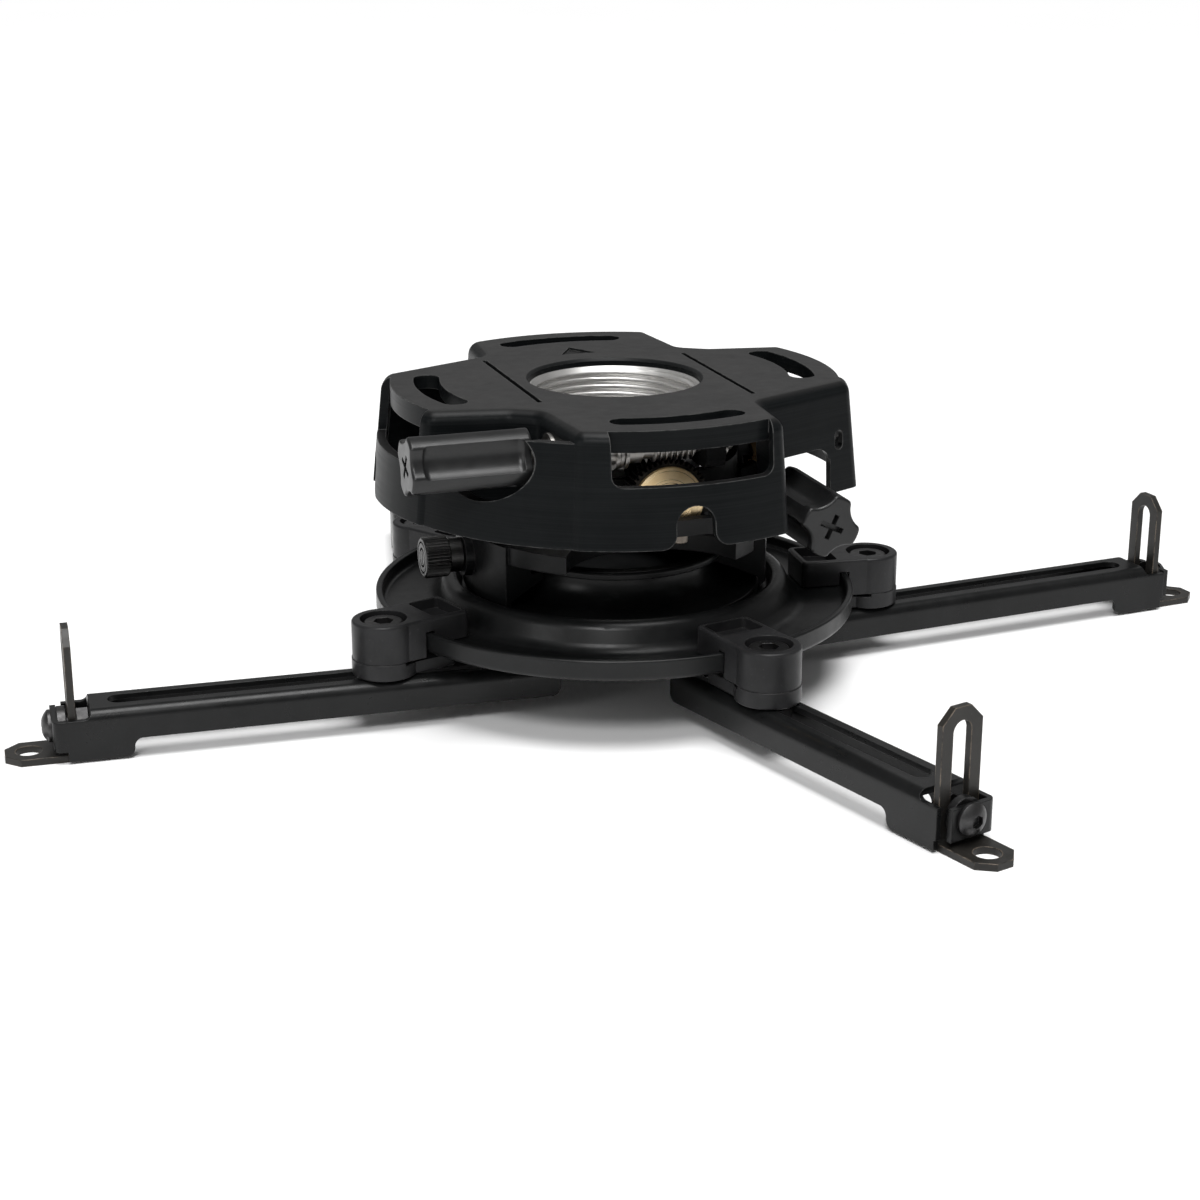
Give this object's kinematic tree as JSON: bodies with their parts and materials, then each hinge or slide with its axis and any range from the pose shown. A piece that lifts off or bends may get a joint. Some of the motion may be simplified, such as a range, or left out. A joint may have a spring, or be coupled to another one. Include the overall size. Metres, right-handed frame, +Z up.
{
  "type": "projector mount",
  "caption": "Black ceiling projector mount: threaded pipe socket, worm-geared roll and pitch knobs, quick-release disc and clamped swinging slotted arms with height-adjustable feet.",
  "frame": {"origin": "centre of the pipe hole on the top face of the upper bracket", "axes": "+Z up along the pipe, -Y to the front (the side with the window and both knobs' near ends), +X to the right seen from the front"},
  "size_m": [0.3817, 0.3353, 0.089],
  "materials": {
    "coated_steel": "matte charcoal powder coat",
    "bare_steel": "turned bare steel",
    "knob_plastic": "satin black",
    "wheel_brass": "bare turned brass",
    "black_casting": "satin black paint on cast metal",
    "satin_black": "satin black paint",
    "gunmetal": "dark gunmetal with worn edges",
    "oxide_steel": "black oxide"
  },
  "bodies": {
    "root": {"upper_bracket": "coated_steel", "pipe_coupler": "bare_steel", "roll_hangers": "coated_steel", "roll_pins": "bare_steel", "roll_worm_bearing": "coated_steel", "roll_worm_bush": "bare_steel"},
    "roll_drive": {"roll_knob": "knob_plastic", "roll_worm": "bare_steel", "roll_thrust_washers": "bare_steel", "roll_worm_clip": "bare_steel"},
    "gimbal": {"gimbal_ring": "black_casting", "roll_worm_wheel": "wheel_brass", "wheel_keeper": "black_casting", "keeper_screws": "oxide_steel", "pitch_pins": "bare_steel"},
    "pitch_drive": {"pitch_knob": "knob_plastic", "pitch_worm": "bare_steel", "pitch_thrust_washers": "bare_steel", "pitch_worm_clip": "bare_steel"},
    "cradle": {"cradle": "black_casting", "pitch_worm_wheel": "wheel_brass", "sector_screws": "oxide_steel"},
    "thumb": {"thumb_screw": "oxide_steel"},
    "adapter": {"adapter_disc": "satin_black"},
    "clamp_left": {"clamp_block_left": "black_casting", "clamp_jaw_left": "black_casting"},
    "pivot_left": {"arm_screw_left": "oxide_steel", "arm_nut_left": "oxide_steel"},
    "arm_left": {"arm_left": "satin_black", "leg_screw_left": "oxide_steel", "leg_washer_left": "oxide_steel"},
    "leg_left": {"leg_left": "gunmetal"},
    "clamp_front": {"clamp_block_front": "black_casting", "clamp_jaw_front": "black_casting"},
    "pivot_front": {"arm_screw_front": "oxide_steel", "arm_nut_front": "oxide_steel"},
    "arm_front": {"arm_front": "satin_black", "leg_screw_front": "oxide_steel", "leg_washer_front": "oxide_steel"},
    "leg_front": {"leg_front": "gunmetal"},
    "clamp_right": {"clamp_block_right": "black_casting", "clamp_jaw_right": "black_casting"},
    "pivot_right": {"arm_screw_right": "oxide_steel", "arm_nut_right": "oxide_steel"},
    "arm_right": {"arm_right": "satin_black", "leg_screw_right": "oxide_steel", "leg_washer_right": "oxide_steel"},
    "leg_right": {"leg_right": "gunmetal"},
    "clamp_rear": {"clamp_block_rear": "black_casting", "clamp_jaw_rear": "black_casting"},
    "pivot_rear": {"arm_screw_rear": "oxide_steel", "arm_nut_rear": "oxide_steel"},
    "arm_rear": {"arm_rear": "satin_black", "leg_screw_rear": "oxide_steel", "leg_washer_rear": "oxide_steel"},
    "leg_rear": {"leg_rear": "gunmetal"}
  },
  "joints": [
    {"name": "roll", "type": "hinge", "parent": "root", "child": "gimbal", "pos_m": [0, 0, -0.026], "axis": [0, 1, 0], "range_deg": [-6, 6]},
    {"name": "roll_knob_turn", "type": "hinge", "parent": "root", "child": "roll_drive", "pos_m": [0, -0.043, -0.01], "axis": [1, 0, 0], "range_deg": [-300, 300]},
    {"name": "pitch", "type": "hinge", "parent": "gimbal", "child": "cradle", "pos_m": [0, 0, -0.0168], "axis": [1, 0, 0], "range_deg": [-8, 8]},
    {"name": "pitch_knob_turn", "type": "hinge", "parent": "gimbal", "child": "pitch_drive", "pos_m": [0.043, 0, -0.0328], "axis": [0, 1, 0], "range_deg": [-400, 400]},
    {"name": "thumb_turn", "type": "hinge", "parent": "cradle", "child": "thumb", "pos_m": [-0.05, 0, -0.0492], "axis": [1, 0, 0], "continuous": true},
    {"name": "swivel", "type": "hinge", "parent": "cradle", "child": "adapter", "pos_m": [0, 0, -0.06], "axis": [0, 0, 1], "continuous": true},
    {"name": "clamp_orbit_left", "type": "hinge", "parent": "adapter", "child": "clamp_left", "pos_m": [0, 0, -0.065], "axis": [0, 0, 1], "range_deg": [-15, 15]},
    {"name": "arm_swing_left", "type": "hinge", "parent": "clamp_left", "child": "pivot_left", "pos_m": [-0.07603, -0.02324, -0.07], "axis": [0, 0, 1], "range_deg": [-20, 20]},
    {"name": "arm_extend_left", "type": "slide", "parent": "pivot_left", "child": "arm_left", "axis": [-0.999, 0.045, 0], "range_m": [-0.008, 0.015]},
    {"name": "leg_height_left", "type": "slide", "parent": "arm_left", "child": "leg_left", "axis": [0, 0, 1], "range_m": [-0.0213, 0]},
    {"name": "clamp_orbit_front", "type": "hinge", "parent": "adapter", "child": "clamp_front", "pos_m": [0, 0, -0.065], "axis": [0, 0, 1], "range_deg": [-15, 15]},
    {"name": "arm_swing_front", "type": "hinge", "parent": "clamp_front", "child": "pivot_front", "pos_m": [0.01748, -0.07755, -0.07], "axis": [0, 0, 1], "range_deg": [-20, 20]},
    {"name": "arm_extend_front", "type": "slide", "parent": "pivot_front", "child": "arm_front", "axis": [0.2705, -0.9627, 0], "range_m": [-0.008, 0.015]},
    {"name": "leg_height_front", "type": "slide", "parent": "arm_front", "child": "leg_front", "axis": [0, 0, 1], "range_m": [-0.0213, 0]},
    {"name": "clamp_orbit_right", "type": "hinge", "parent": "adapter", "child": "clamp_right", "pos_m": [0, 0, -0.065], "axis": [0, 0, 1], "range_deg": [-15, 15]},
    {"name": "arm_swing_right", "type": "hinge", "parent": "clamp_right", "child": "pivot_right", "pos_m": [0.07909, -0.00803, -0.07], "axis": [0, 0, 1], "range_deg": [-20, 20]},
    {"name": "arm_extend_right", "type": "slide", "parent": "pivot_right", "child": "arm_right", "axis": [0.9958, 0.091, 0], "range_m": [-0.008, 0.015]},
    {"name": "leg_height_right", "type": "slide", "parent": "arm_right", "child": "leg_right", "axis": [0, 0, 1], "range_m": [-0.0213, 0]},
    {"name": "clamp_orbit_rear", "type": "hinge", "parent": "adapter", "child": "clamp_rear", "pos_m": [0, 0, -0.065], "axis": [0, 0, 1], "range_deg": [-15, 15]},
    {"name": "arm_swing_rear", "type": "hinge", "parent": "clamp_rear", "child": "pivot_rear", "pos_m": [-0.04213, 0.06742, -0.07], "axis": [0, 0, 1], "range_deg": [-20, 20]},
    {"name": "arm_extend_rear", "type": "slide", "parent": "pivot_rear", "child": "arm_rear", "axis": [0.2144, 0.9767, 0], "range_m": [-0.008, 0.015]},
    {"name": "leg_height_rear", "type": "slide", "parent": "arm_rear", "child": "leg_rear", "axis": [0, 0, 1], "range_m": [-0.0213, 0]}
  ],
  "couplings": [
    {"joint": "roll_knob_turn", "follows": "roll", "ratio": -48},
    {"joint": "pitch_knob_turn", "follows": "pitch", "ratio": -48}
  ]
}
